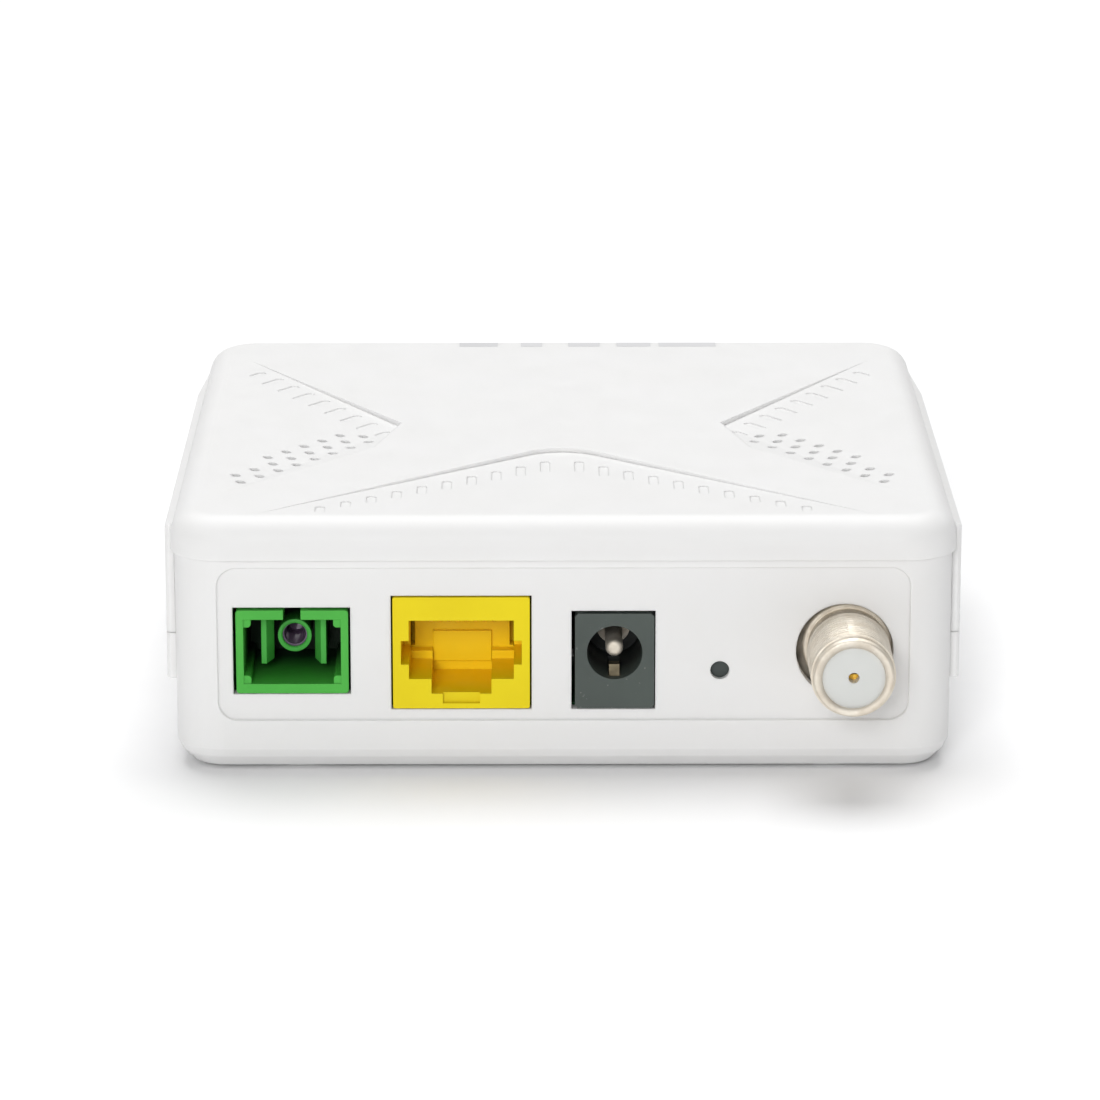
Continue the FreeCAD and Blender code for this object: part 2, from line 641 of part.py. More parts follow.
def make_optical_leads():
    """Leads that run out of each can and turn down through the board."""
    radius = 0.22
    leads = []
    for x, y in can_lead_points():
        drop = post(radius, x, y, BOARD_BOTTOM - 0.6, FIBRE_Z)
        if abs(x - FIBRE_X) < 2:
            run = rod(radius, x, FIBRE_Z, MODULE_Y + 9.5, y)
        else:
            can_end = FIBRE_X + math.copysign(7.0, x - FIBRE_X)
            run = cross_rod(radius, y, FIBRE_Z, min(can_end, x), max(can_end, x))
        elbow = Part.makeSphere(radius, Vector(x, y, FIBRE_Z))
        leads.append(join([drop, run, elbow]))
    return leads


# ================= Ethernet port =================

ETHERNET_BACK = 9.5          # back wall of the plug cavity behind the panel
SIDE_STEP = 8.0              # a low step rises on both sides of the latch channel here
CAVITY_LOW = 3.5             # heights above the board
STEP_HIGH = 4.45
CAVITY_HIGH = 10.4
CHANNEL_LOW = 1.75
CHANNEL_WIDTH = 6.8
FIRST_TAIL_ROW = ETHERNET_BACK + 3.4    # contact tails nearest the panel
PEG_DEPTH = FIRST_TAIL_ROW - 6.35       # locating pegs, at their standard distance from the tails


def make_ethernet_housing():
    """Socket with the plug latch at the bottom: cavity, side ears, latch channel and notch."""
    y0 = PANEL_FACE
    y1 = PANEL_FACE + ETHERNET_LENGTH
    top = BOARD_TOP + ETHERNET_HEIGHT
    body = box_at(ETHERNET_X, (y0 + y1) / 2, ETHERNET_WIDTH, ETHERNET_LENGTH, BOARD_TOP, top)
    outer_edges = [e for e in body.Edges if abs(e.tangentAt(e.FirstParameter).y) > 0.9]
    body = body.makeFillet(0.25, outer_edges)

    def pocket(width, depth, above0, above1):
        return box(ETHERNET_X - width / 2, ETHERNET_X + width / 2, y0 - 1, y0 + depth,
                   BOARD_TOP + above0, BOARD_TOP + above1)

    cavity = pocket(11.9, SIDE_STEP, CAVITY_LOW, CAVITY_HIGH)
    cavity_end = pocket(11.9, ETHERNET_BACK, STEP_HIGH, CAVITY_HIGH)
    ears = pocket(13.7, SIDE_STEP, 5.2, 8.0)
    channel = pocket(CHANNEL_WIDTH, ETHERNET_BACK, CHANNEL_LOW, STEP_HIGH + 0.2)
    notch = pocket(4.2, 0.6, 0.6, 2.0)
    block_room = box(ETHERNET_X - 5.95, ETHERNET_X + 5.95, y0 + ETHERNET_BACK, y1 + 1,
                     BOARD_TOP - 1, BOARD_TOP + CAVITY_HIGH)
    body = remove(body, [cavity, cavity_end, ears, channel, notch, block_room])
    pegs = [post(1.6, ETHERNET_X + side * 5.7, y0 + PEG_DEPTH, BOARD_BOTTOM - 1.0, BOARD_TOP + 0.3)
            for side in (-1, 1)]
    return join([body] + pegs)


def contact_positions():
    """X of each contact, and the Y of its tail in one of two staggered rows."""
    middle = (CONTACT_COUNT - 1) / 2
    first_row = PANEL_FACE + FIRST_TAIL_ROW
    return [(ETHERNET_X + (index - middle) * CONTACT_PITCH, first_row + 2.2 * (index % 2))
            for index in range(CONTACT_COUNT)]


def make_ethernet_contacts():
    """Sprung wires: tail through the board, run under the ceiling, folded back down."""
    contacts = []
    ceiling = BOARD_TOP + CAVITY_HIGH - 0.4
    for x, tail_y in contact_positions():
        path = [(tail_y, BOARD_BOTTOM - 0.8), (tail_y, ceiling), (PANEL_FACE + 4.0, ceiling),
                (PANEL_FACE + 3.8, ceiling - 0.5), (PANEL_FACE + 9.0, ceiling - 2.2)]
        contacts.append(bent_strip(path, 0.3, x, 0.4))
    return contacts


def make_ethernet_block():
    """Insulating block behind the cavity that holds the eight contacts."""
    front = PANEL_FACE + ETHERNET_BACK + 0.05
    end = PANEL_FACE + ETHERNET_LENGTH - 0.1
    block = box(ETHERNET_X - 5.9, ETHERNET_X + 5.9, front, end,
                BOARD_TOP, BOARD_TOP + CAVITY_HIGH - 0.05)
    plate = box_at(ETHERNET_X, front, CHANNEL_WIDTH - 0.1, 0.9, BOARD_TOP + 2.9, BOARD_TOP + 6.5)
    slots = [box_at(ETHERNET_X + side * 5.8, front, 0.7, 4.0, BOARD_TOP + 4.65,
                    BOARD_TOP + CAVITY_HIGH) for side in (-1, 1)]
    return remove(block.fuse(plate).removeSplitter(), slots + make_ethernet_contacts())


# ================= power jack =================

def power_pin_points():
    """Plan points of the jack terminals: pin, spring and side contact."""
    return [(POWER_X, PANEL_FACE + 13.2), (POWER_X, PANEL_FACE + 8.6),
            (POWER_X + 3.6, PANEL_FACE + 10.6)]


def power_pin_root():
    """Thicker root of the pin, buried in the back of the housing."""
    return rod(1.3, POWER_X, POWER_Z, PANEL_FACE + POWER_HOLE_DEPTH, PANEL_FACE + 13.4)


def make_power_pin():
    """Centre pin with a rounded tip, a flange at its root and a blade down through the board."""
    y0 = PANEL_FACE + 1.6
    pin = rod(POWER_PIN_RADIUS, POWER_X, POWER_Z, y0, PANEL_FACE + 13.4)
    tip = [edge for edge in pin.Edges if abs(edge.CenterOfMass.y - y0) < 0.001]
    pin = pin.makeFillet(0.6, tip)
    root = power_pin_root()
    hole_end = PANEL_FACE + POWER_HOLE_DEPTH
    flange = rod(1.9, POWER_X, POWER_Z, hole_end - 0.4, hole_end)
    x, y = power_pin_points()[0]
    blade = box_at(x, y, 1.6, 0.4, BOARD_BOTTOM - 1.2, POWER_Z)
    return join([pin, flange, root, blade])


def make_power_spring():
    """Leaf that rises into the bottom of the hole and presses on the plug barrel."""
    x, y = power_pin_points()[1]
    low = BOARD_TOP + 1.6
    path = [(y, BOARD_BOTTOM - 1.2), (y, low), (PANEL_FACE + 2.4, low + 0.3),
            (PANEL_FACE + 2.9, low + 2.6), (PANEL_FACE + 5.4, low + 2.2)]
    return bent_strip(path, 0.35, x, 1.2)


def make_power_side_contact():
    """Fixed switch contact beside the hole."""
    x, y = power_pin_points()[2]
    return box_at(x, y, 0.35, 1.6, BOARD_BOTTOM - 1.2, POWER_Z + 1.0)


def make_power_housing():
    y0 = PANEL_FACE
    y1 = PANEL_FACE + POWER_LENGTH
    body = box_at(POWER_X, (y0 + y1) / 2, POWER_WIDTH, POWER_LENGTH,
                  BOARD_TOP, BOARD_TOP + POWER_HEIGHT)
    edges = [e for e in body.Edges if abs(e.tangentAt(e.FirstParameter).y) > 0.9]
    body = body.makeChamfer(0.35, edges)
    hole = rod(POWER_HOLE_RADIUS, POWER_X, POWER_Z, y0 - 1, y0 + POWER_HOLE_DEPTH)
    blade_room = box_at(POWER_X, y0 + 13.2, 1.6, 0.4, BOARD_TOP - 1, POWER_Z)
    spring_room = box(POWER_X - 0.7, POWER_X + 0.7, y0 + 1.2, y0 + 9.0,
                      BOARD_TOP - 1, BOARD_TOP + 4.6)
    side_room = box_at(POWER_X + 3.6, y0 + 10.6, 0.45, 1.7, BOARD_TOP - 1, POWER_Z + 1.1)
    return remove(body, [hole, power_pin_root(), blade_room, spring_room, side_room])


# ================= reset switch =================

SWITCH_FRONT = INNER_PORT_WALL + 2.4
SWITCH_WIDTH = 6.0
SWITCH_DEPTH = 3.6
SWITCH_HEIGHT = 7.2
PLUNGER_RADIUS = 1.45
COLLAR_RADIUS = 2.1


def make_switch_body():
    """Moulded body standing on the board, with a round pocket open towards the port wall."""
    y1 = SWITCH_FRONT + SWITCH_DEPTH
    body = box(RESET_X - SWITCH_WIDTH / 2, RESET_X + SWITCH_WIDTH / 2, SWITCH_FRONT, y1,
               BOARD_TOP, BOARD_TOP + SWITCH_HEIGHT)
    pocket = rod(COLLAR_RADIUS + 0.15, RESET_X, RESET_Z, SWITCH_FRONT - 1, SWITCH_FRONT + 1.6)
    return body.cut(pocket)


def make_switch_cover():
    """Steel plate that closes the pocket, folded over the top of the body."""
    half = SWITCH_WIDTH / 2
    plate = box(RESET_X - half, RESET_X + half, SWITCH_FRONT - 0.3, SWITCH_FRONT,
                BOARD_TOP, BOARD_TOP + SWITCH_HEIGHT + 0.3)
    fold = box(RESET_X - half, RESET_X + half, SWITCH_FRONT - 0.3, SWITCH_FRONT + 2.4,
               BOARD_TOP + SWITCH_HEIGHT, BOARD_TOP + SWITCH_HEIGHT + 0.3)
    legs = [box(RESET_X + side * 2.3 - 0.4, RESET_X + side * 2.3 + 0.4, SWITCH_FRONT - 0.3,
                SWITCH_FRONT, BOARD_BOTTOM - 0.8, BOARD_TOP + 0.2) for side in (-1, 1)]
    window = rod(PLUNGER_RADIUS + 0.05, RESET_X, RESET_Z, SWITCH_FRONT - 1, SWITCH_FRONT + 1)
    return join([plate, fold] + legs).cut(window)


def make_reset_button():
    """Plunger behind the pin hole, with a collar that keeps it in the switch."""
    stem = rod(PLUNGER_RADIUS, RESET_X, RESET_Z, PANEL_FACE + RESET_SKIN + 0.2, SWITCH_FRONT + 0.4)
    collar = rod(COLLAR_RADIUS, RESET_X, RESET_Z, SWITCH_FRONT + 0.02, SWITCH_FRONT + 0.6)
    return join([stem, collar])


def make_switch_dome():
    """Thin sprung disc behind the collar, bulging towards it."""
    floor_y = SWITCH_FRONT + 1.6
    edge_y = floor_y - 0.1
    crown_y = SWITCH_FRONT + 0.6 + RESET_TRAVEL + 0.02
    rise = edge_y - crown_y
    radius = 2.0
    ball_radius = (radius ** 2 + rise ** 2) / (2 * rise)
    centre = Vector(RESET_X, crown_y + ball_radius, RESET_Z)
    cap = Part.makeSphere(ball_radius, centre).cut(Part.makeSphere(ball_radius - 0.1, centre))
    return cap.common(rod(radius, RESET_X, RESET_Z, crown_y - 1, edge_y))


# ================= coaxial port =================

COAX_BLOCK = 12.4
COAX_BLOCK_FRONT = INNER_PORT_WALL + 0.9
COAX_BLOCK_DEPTH = 11.5
COAX_TIP = PORT_FACE - COAX_REACH


def coax_leg_points():
    reach = COAX_BLOCK / 2 - 1.2
    middle = COAX_BLOCK_FRONT + COAX_BLOCK_DEPTH / 2
    depth_reach = COAX_BLOCK_DEPTH / 2 - 1.4
    return [(COAX_X + sx * reach, middle + sy * depth_reach) for sx in (-1, 1) for sy in (-1, 1)]


def coax_thread_relief():
    """Cutter for the shallow neck where the barrel passes through the case wall."""
    neck_start = PORT_FACE - 0.6
    neck_end = INNER_PORT_WALL - 0.2
    ring = rod(COAX_BARREL_RADIUS + 1, COAX_X, COAX_Z, neck_start, neck_end)
    return ring.cut(rod(COAX_BARREL_RADIUS - 0.2, COAX_X, COAX_Z, neck_start - 1, neck_end + 1))


def make_coax_body():
    """Nickel plated barrel with a plain mouth, shoulder ring and square base."""
    barrel = rod(COAX_BARREL_RADIUS, COAX_X, COAX_Z, COAX_TIP + COAX_LEAD, COAX_BLOCK_FRONT)
    lead_in = rod(COAX_BARREL_RADIUS - 0.26, COAX_X, COAX_Z, COAX_TIP, COAX_TIP + COAX_LEAD + 1)
    mouth = [edge for edge in lead_in.Edges if abs(edge.CenterOfMass.y - COAX_TIP) < 0.001]
    lead_in = lead_in.makeFillet(0.3, mouth)
    shoulder = rod(5.1, COAX_X, COAX_Z, INNER_PORT_WALL - 0.2, COAX_BLOCK_FRONT + 0.5)
    base = box_at(COAX_X, COAX_BLOCK_FRONT + COAX_BLOCK_DEPTH / 2, COAX_BLOCK,
                  COAX_BLOCK_DEPTH, BOARD_TOP, COAX_Z + COAX_BLOCK / 2)
    edges = [e for e in base.Edges if abs(e.tangentAt(e.FirstParameter).y) > 0.9]
    base = base.makeFillet(0.8, edges)
    legs = [post(0.75, x, y, BOARD_BOTTOM - 1.4, BOARD_TOP + 1) for x, y in coax_leg_points()]
    body = join([barrel, lead_in, shoulder, base] + legs)
    body = body.cut(coax_thread_relief())
    front_bore = rod(COAX_BORE_RADIUS, COAX_X, COAX_Z, COAX_TIP - 1, COAX_TIP + 9)
    rear_bore = rod(2.6, COAX_X, COAX_Z, COAX_TIP, COAX_BLOCK_FRONT + 8)
    pin_room = post(1.5, COAX_X, COAX_BLOCK_FRONT + 6, BOARD_TOP - 1, COAX_Z)
    return remove(body, [front_bore, rear_bore, pin_room])


def make_coax_insulator():
    """Pale plastic plug with a small entry hole at the mouth of the barrel."""
    plug = rod(COAX_BORE_RADIUS - 0.02, COAX_X, COAX_Z, COAX_TIP + 0.25, COAX_TIP + 8.8)
    entry = rod(0.62, COAX_X, COAX_Z, COAX_TIP - 1, COAX_TIP + 2)
    room = rod(1.22, COAX_X, COAX_Z, COAX_TIP + 1.8, COAX_TIP + 10)
    return remove(plug, [entry, room])


def make_coax_contact():
    """Gold plated tube slit into two fingers that grip the cable's wire, with a pin below."""
    front_y = COAX_TIP + 1.9
    rear_y = COAX_BLOCK_FRONT + 6
    tube = rod(1.15, COAX_X, COAX_Z, front_y, rear_y + 0.8)
    pin = post(0.5, COAX_X, rear_y, BOARD_BOTTOM - 1.2, COAX_Z)
    bore = rod(0.55, COAX_X, COAX_Z, front_y + 0.9, COAX_TIP + 9)
    slit = box_at(COAX_X, front_y + 2.5, 3.0, 7.0, COAX_Z - 0.06, COAX_Z + 0.06)
    return join([tube, pin]).cut(bore).cut(slit)


# ================= board and electronics =================

def lamp_positions():
    middle = (LAMP_COUNT - 1) / 2
    return [LAMP_MIDDLE_X + (index - middle) * LAMP_PITCH for index in range(LAMP_COUNT)]


LAMP_Y = INDICATOR_FACE - 6.0


def make_status_lamps():
    """Small surface mounted lamps under the light guide legs."""
    return [box_at(x, LAMP_Y, 2.0, 1.2, BOARD_TOP, BOARD_TOP + 0.8) for x in lamp_positions()]


def make_light_guide():
    """Clear moulding: one leg and one round pipe per lamp, joined by a bar."""
    pieces = []
    for x in lamp_positions():
        leg = box_at(x, LAMP_Y, 2.0, 2.0, BOARD_TOP + 1.1, LAMP_Z + 1)
        elbow = Part.makePolygon([Vector(x - 2, LAMP_Y - 1, LAMP_Z - 0.4),
                                  Vector(x - 2, LAMP_Y - 1, LAMP_Z + 2),
                                  Vector(x - 2, LAMP_Y + 1.4, LAMP_Z + 2),
                                  Vector(x - 2, LAMP_Y - 1, LAMP_Z - 0.4)])
        mirror = Part.Face(elbow).extrude(Vector(4, 0, 0))
        pipe = rod(PIPE_RADIUS, x, LAMP_Z, LAMP_Y - 0.5, INDICATOR_FACE + 0.15)
        pieces.append(join([leg, pipe]).cut(mirror))
    ends = lamp_positions()
    bar = box(ends[0] - 1, ends[-1] + 1, LAMP_Y - 0.8, LAMP_Y + 0.8, LAMP_Z - 6, LAMP_Z - 4)
    return join(pieces + [bar])


def chip(x, y, width, depth, height, lift=0.0):
    """Square moulded package with a broken top edge."""
    package = box_at(x, y, width, depth, BOARD_TOP + lift, BOARD_TOP + height)
    top = [e for e in package.Edges if abs(e.BoundBox.ZMin - BOARD_TOP - height) < 0.001]
    return package.makeChamfer(0.12, top)


def leaded_chip(x, y, width, depth, height, lead_count, pitch):
    """Package with gull-wing leads along both long sides."""
    package = chip(x, y, width, depth, height, 0.1)
    leads = []
    for index in range(lead_count):
        lead_x = x + (index - (lead_count - 1) / 2) * pitch
        for side in (-1, 1):
            edge_y = y + side * depth / 2
            path = [(edge_y - side * 0.2, BOARD_TOP + height / 2),
                    (edge_y + side * 0.45, BOARD_TOP + height / 2),
                    (edge_y + side * 0.6, BOARD_TOP + 0.1),
                    (edge_y + side * 1.1, BOARD_TOP + 0.1)]
            leads.append(bent_strip(path, 0.2, lead_x, 0.4 * pitch))
    return join([package] + leads)


PROCESSOR = (-2.0, 6.0)
PROCESSOR_SIZE = 15.0
PROCESSOR_HEIGHT = 1.3
PAD_HEIGHT = 0.6


def make_heat_sink():
    """Finned block resting on the thermal pad."""
    x, y = PROCESSOR
    size = 24.0
    z0 = BOARD_TOP + PROCESSOR_HEIGHT + PAD_HEIGHT
    sink = box_at(x, y, size, size, z0, z0 + 7)
    fin_pitch = size / 9
    gaps = [box_at(x + (index - 3.5) * fin_pitch, y, fin_pitch * 0.6, size + 2, z0 + 1.8, z0 + 8)
            for index in range(8)]
    return remove(sink, gaps)


def capacitor_points():
    return [(3.0, -19.5), (25.0, 18.0)]


def make_capacitors():
    """Electrolytic cans on square plastic bases, scored across the top."""
    cans = []
    for x, y in capacitor_points():
        base = box_at(x, y, 8.0, 8.0, BOARD_TOP, BOARD_TOP + 1.0)
        can = post(3.8, x, y, BOARD_TOP + 0.8, BOARD_TOP + 10)
        top = [e for e in can.Edges if abs(e.BoundBox.ZMin - BOARD_TOP - 10) < 0.001]
        cans.append(join([base, can.makeFillet(0.6, top)]))
    return cans


def make_inductors():
    """Square shielded coils near the power jack."""
    coils = []
    for x, y in ((11.5, -22.0), (10.0, -12.0)):
        block = chip(x, y, 6.0, 6.0, 3.0)
        coils.append(block.cut(post(2.2, x, y, BOARD_TOP + 2.4, BOARD_TOP + 4)))
    return coils


SHIELD = (27.5, -15.5)


def make_shield_can():
    """Thin metal lid over the coaxial receiver circuit, open at the bottom."""
    x, y = SHIELD
    outer = box_at(x, y, 18.0, 19.0, BOARD_TOP, BOARD_TOP + 4.0)
    edges = [e for e in outer.Edges if e.BoundBox.ZMax > BOARD_TOP + 0.01]
    outer = outer.makeFillet(0.5, edges)
    inner = box_at(x, y, 17.4, 18.4, BOARD_TOP - 1, BOARD_TOP + 3.7)
    holes = []
    for column in range(-3, 4):
        for row in range(-3, 4):
            holes.append(post(0.5, x + column * 2.2, y + row * 2.2, BOARD_TOP + 3, BOARD_TOP + 5))
    return remove(outer, [inner] + holes)


def board_holes():
    """Cutters for every pin, peg and screw that passes through the board."""
    z0 = BOARD_BOTTOM - 1
    z1 = BOARD_TOP + 1
    holes = [post(4.3, x, y, z0, z1) for x, y in screw_points()]
    for side in (-1, 1):
        holes.append(post(1.5, side * BOARD_SCREW_X, BOARD_SCREW_Y, z0, z1))
        holes.append(post(1.75, ETHERNET_X + side * 5.7, PANEL_FACE + PEG_DEPTH, z0, z1))
        holes.append(post(0.95, FIBRE_X + side * 4.6, PANEL_FACE + FIBRE_LENGTH - 4, z0, z1))
        holes.append(box_at(RESET_X + side * 2.3, SWITCH_FRONT - 0.15, 1.1, 0.7, z0, z1))
    holes += [post(0.4, x, y, z0, z1) for x, y in contact_positions()]
    holes += [post(0.35, x, y, z0, z1) for x, y in can_lead_points()]
    holes += [post(1.05, x, y, z0, z1) for x, y in power_pin_points()]
    holes += [post(0.9, x, y, z0, z1) for x, y in coax_leg_points()]
    holes.append(post(0.7, COAX_X, COAX_BLOCK_FRONT + 6, z0, z1))
    return holes


def make_board():
    inset = WALL + BOARD_GAP
    plate = rounded_block(CASE_WIDTH - 2 * inset, CASE_DEPTH - 2 * inset, 1.5,
                          BOARD_BOTTOM, BOARD_TOP)
    return remove(plate, board_holes())


# ================= every piece, by name =================

x_proc, y_proc = PROCESSOR
NODES = {
    "bottom_case": make_bottom_case(),
    "top_cover": make_top_cover(),
    "case_screws": make_case_screws(),
    "main_board": make_board(),
    "board_screws": make_board_screws(),
    "fibre_housing": make_fibre_housing(),
    "fibre_latch": make_fibre_latch(),
    "alignment_sleeve": make_alignment_sleeve(),
    "stub_ferrule": make_stub_ferrule(),
    "optical_module": make_optical_module(),
    "optical_cans": make_optical_cans(),
    "optical_leads": make_optical_leads(),
    "ethernet_housing": make_ethernet_housing(),
    "ethernet_block": make_ethernet_block(),
    "ethernet_contacts": make_ethernet_contacts(),
    "power_housing": make_power_housing(),
    "power_pin": make_power_pin(),
    "power_spring": make_power_spring(),
    "power_side_contact": make_power_side_contact(),
    "switch_body": make_switch_body(),
    "switch_cover": make_switch_cover(),
    "switch_dome": make_switch_dome(),
    "reset_button": make_reset_button(),
    "coax_body": make_coax_body(),
    "coax_insulator": make_coax_insulator(),
    "coax_contact": make_coax_contact(),
    "status_lamps": make_status_lamps(),
    "light_guide": make_light_guide(),
    "processor": chip(x_proc, y_proc, PROCESSOR_SIZE, PROCESSOR_SIZE, PROCESSOR_HEIGHT),
    "thermal_pad": box_at(x_proc, y_proc, 13.0, 13.0, BOARD_TOP + PROCESSOR_HEIGHT,
                          BOARD_TOP + PROCESSOR_HEIGHT + PAD_HEIGHT),
    "heat_sink": make_heat_sink(),
    "memory_chip": chip(18.0, 8.0, 8.0, 12.0, 1.0),
    "flash_chip": leaded_chip(-22.0, 14.0, 5.2, 5.2, 1.7, 4, 1.27),
    "line_transformer": leaded_chip(ETHERNET_X, -18.0, 12.7, 7.0, 3.2, 8, 1.27),
    "clock_crystal": chip(-20.0, 4.0, 5.0, 3.2, 1.2),
    "capacitors": make_capacitors(),
    "inductors": make_inductors(),
    "shield_can": make_shield_can(),
}


def export_node(name, shape):
    solids = shape if isinstance(shape, list) else [shape]
    whole = solids[0] if len(solids) == 1 else Part.makeCompound(solids)
    if not whole.isValid():
        raise ValueError("invalid shape: " + name)
    whole.exportStep("parts/" + name + ".step")
    print(name, "solids", len(whole.Solids), "volume", round(whole.Volume, 1))


os.makedirs("parts", exist_ok=True)
for node_name, node_shape in NODES.items():
    export_node(node_name, node_shape)
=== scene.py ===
import json
import math

import bmesh
import bpy
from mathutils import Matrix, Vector


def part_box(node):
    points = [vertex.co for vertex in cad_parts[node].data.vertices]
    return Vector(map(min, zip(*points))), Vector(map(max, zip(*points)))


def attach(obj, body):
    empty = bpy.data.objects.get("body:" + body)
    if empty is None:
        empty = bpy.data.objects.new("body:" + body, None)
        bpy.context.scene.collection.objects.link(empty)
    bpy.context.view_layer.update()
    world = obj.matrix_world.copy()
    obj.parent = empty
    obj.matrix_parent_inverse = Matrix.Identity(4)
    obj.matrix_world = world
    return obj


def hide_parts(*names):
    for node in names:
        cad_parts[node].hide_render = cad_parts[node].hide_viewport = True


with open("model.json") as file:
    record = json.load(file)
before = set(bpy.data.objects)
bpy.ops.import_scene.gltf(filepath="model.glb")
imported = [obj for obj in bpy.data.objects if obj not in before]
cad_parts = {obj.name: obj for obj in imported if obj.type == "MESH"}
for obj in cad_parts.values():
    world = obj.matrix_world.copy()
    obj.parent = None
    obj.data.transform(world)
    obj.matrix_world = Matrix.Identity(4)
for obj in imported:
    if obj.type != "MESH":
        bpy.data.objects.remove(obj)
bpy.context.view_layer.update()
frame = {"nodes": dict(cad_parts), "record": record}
nodes = frame["nodes"]
mounts = {m["name"]: m for m in frame["record"]["mounts"]}
MM = 0.001

# Optical network terminal: looks for the CAD nodes, the coaxial thread, the printed dashes
# over the indicators, and a plain studio. Lengths named ..._mm are millimetres; everything
# else is metres in the CAD's own frame.


# ---------------- materials ----------------

class Material:
    """A principled material built from procedural nodes in object space."""

    def __init__(self, name, colour, roughness, metallic=0.0):
        self.material = bpy.data.materials.new(name)
        self.material.use_nodes = True
        self.tree = self.material.node_tree
        self.shader = self.tree.nodes["Principled BSDF"]
        self.shader.inputs["Roughness"].default_value = roughness
        self.shader.inputs["Metallic"].default_value = metallic
        self.colour = (*colour, 1.0)
        self.shader.inputs["Base Color"].default_value = self.colour
        self.place = self.add("ShaderNodeTexCoord").outputs["Object"]
        self.normal = None

    def add(self, kind):
        return self.tree.nodes.new(kind)

    def link(self, output, socket):
        self.tree.links.new(output, socket)

    def noise(self, size_mm, detail=3.0, stretch=None):
        """Noise with features of about size_mm, drawn out along an axis by a small stretch."""
        source = self.place
        if stretch:
            mapping = self.add("ShaderNodeMapping")
            mapping.inputs["Scale"].default_value = stretch
            self.link(source, mapping.inputs["Vector"])
            source = mapping.outputs["Vector"]
        node = self.add("ShaderNodeTexNoise")
        node.inputs["Scale"].default_value = 1.0 / (size_mm * MM)
        node.inputs["Detail"].default_value = detail
        self.link(source, node.inputs["Vector"])
        return node.outputs["Fac"]

    def remap(self, value, low, high, start=0.3, end=0.7):
        node = self.add("ShaderNodeMapRange")
        node.inputs["From Min"].default_value = start
        node.inputs["From Max"].default_value = end
        node.inputs["To Min"].default_value = low
        node.inputs["To Max"].default_value = high
        self.link(value, node.inputs["Value"])
        return node.outputs["Result"]

    def edges(self, radius_mm):
        """One along outer and inner edges of the shape, zero on its flats."""
        bevel = self.add("ShaderNodeBevel")
        bevel.samples = 4
        bevel.inputs["Radius"].default_value = radius_mm * MM
        facing = self.add("ShaderNodeVectorMath")
        facing.operation = "DOT_PRODUCT"
        self.link(bevel.outputs["Normal"], facing.inputs[0])
        self.link(self.add("ShaderNodeNewGeometry").outputs["Normal"], facing.inputs[1])
        return self.remap(facing.outputs["Value"], 1.0, 0.0, 0.78, 0.99)

    def vary_colour(self, value, other, start=0.35, end=0.75):
        """Blend the current base colour towards another one."""
        mix = self.add("ShaderNodeMix")
        mix.data_type = "RGBA"
        colours = [s for s in mix.inputs if s.type == "RGBA"]
        link = self.shader.inputs["Base Color"].links
        if link:
            self.link(link[0].from_socket, colours[0])
        else:
            colours[0].default_value = self.colour
        colours[1].default_value = (*other, 1.0)
        self.link(self.remap(value, 0.0, 1.0, start, end), mix.inputs[0])
        output = [s for s in mix.outputs if s.type == "RGBA"][0]
        self.link(output, self.shader.inputs["Base Color"])
        return self

    def vary_roughness(self, value, low, high):
        self.link(self.remap(value, low, high), self.shader.inputs["Roughness"])
        return self

    def soften(self, radius_mm):
        """Round the look of sharp edges."""
        node = self.add("ShaderNodeBevel")
        node.samples = 6
        node.inputs["Radius"].default_value = radius_mm * MM
        self.normal = node.outputs["Normal"]
        self.link(self.normal, self.shader.inputs["Normal"])
        return self

    def bump(self, value, height_mm, strength=1.0):
        node = self.add("ShaderNodeBump")
        node.inputs["Distance"].default_value = height_mm * MM
        node.inputs["Strength"].default_value = strength
        self.link(value, node.inputs["Height"])
        if self.normal:
            self.link(self.normal, node.inputs["Normal"])
        self.normal = node.outputs["Normal"]
        self.link(self.normal, self.shader.inputs["Normal"])
        return self

    def set(self, name, value):
        self.shader.inputs[name].default_value = value
        return self


def plastic(name, colour, shade, roughness, soft=0.1, grain=0.25, depth=0.004, uneven=0.08):
    """Moulded plastic: faint flow marks in colour, uneven gloss, fine grain, soft edges."""
    made = Material(name, colour, roughness)
    made.vary_colour(made.noise(9.0, 4.0), shade)
    made.vary_roughness(made.noise(3.5, 5.0), roughness - uneven, roughness + uneven)
    made.soften(soft)
    made.bump(made.noise(grain, 2.0), depth)
    return made


def metal(name, colour, shade, roughness, soft=0.06, brush=None):
    """Plated or bare metal: tarnish in colour, uneven gloss, fine scratches, painted highlights on
    edges.
    """
    made = Material(name, colour, roughness, 1.0)
    made.vary_colour(made.noise(1.8, 5.0), shade)
    # Painted highlight: the metal's edges are lightened in colour.
    made.vary_colour(made.edges(0.12), [min(1.0, 1.15 * c) for c in colour], 0.0, 1.6)
    made.vary_roughness(made.noise(1.1, 4.0), roughness - 0.08, roughness + 0.14)
    made.soften(soft)
    made.bump(made.noise(0.25, 3.0, brush), 0.006)
    return made


def dusty(made, colour, size_mm, cover):
    """Sparse pale specks of dust and scuffs."""
    made.vary_colour(made.noise(size_mm, 2.0), colour, cover, cover + 0.05)
    return made


def translucent(made, radius_mm):
    """Let light soak a little way into a pale plastic."""
    made.set("Subsurface Weight", 0.7)
    made.set("Subsurface Radius", (1.0, 1.0, 1.0))
    made.set("Subsurface Scale", radius_mm * MM)
    return made


def paint_shading_by_depth(made, colour, start, end):
    """Painted light and shade: colour that changes with depth behind the front of the ports."""
    separate = made.add("ShaderNodeSeparateXYZ")
    made.link(made.place, separate.inputs[0])
    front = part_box("fibre_housing")[0][1]
    made.vary_colour(separate.outputs["Y"], colour, front + start * MM, front + end * MM)
    return made
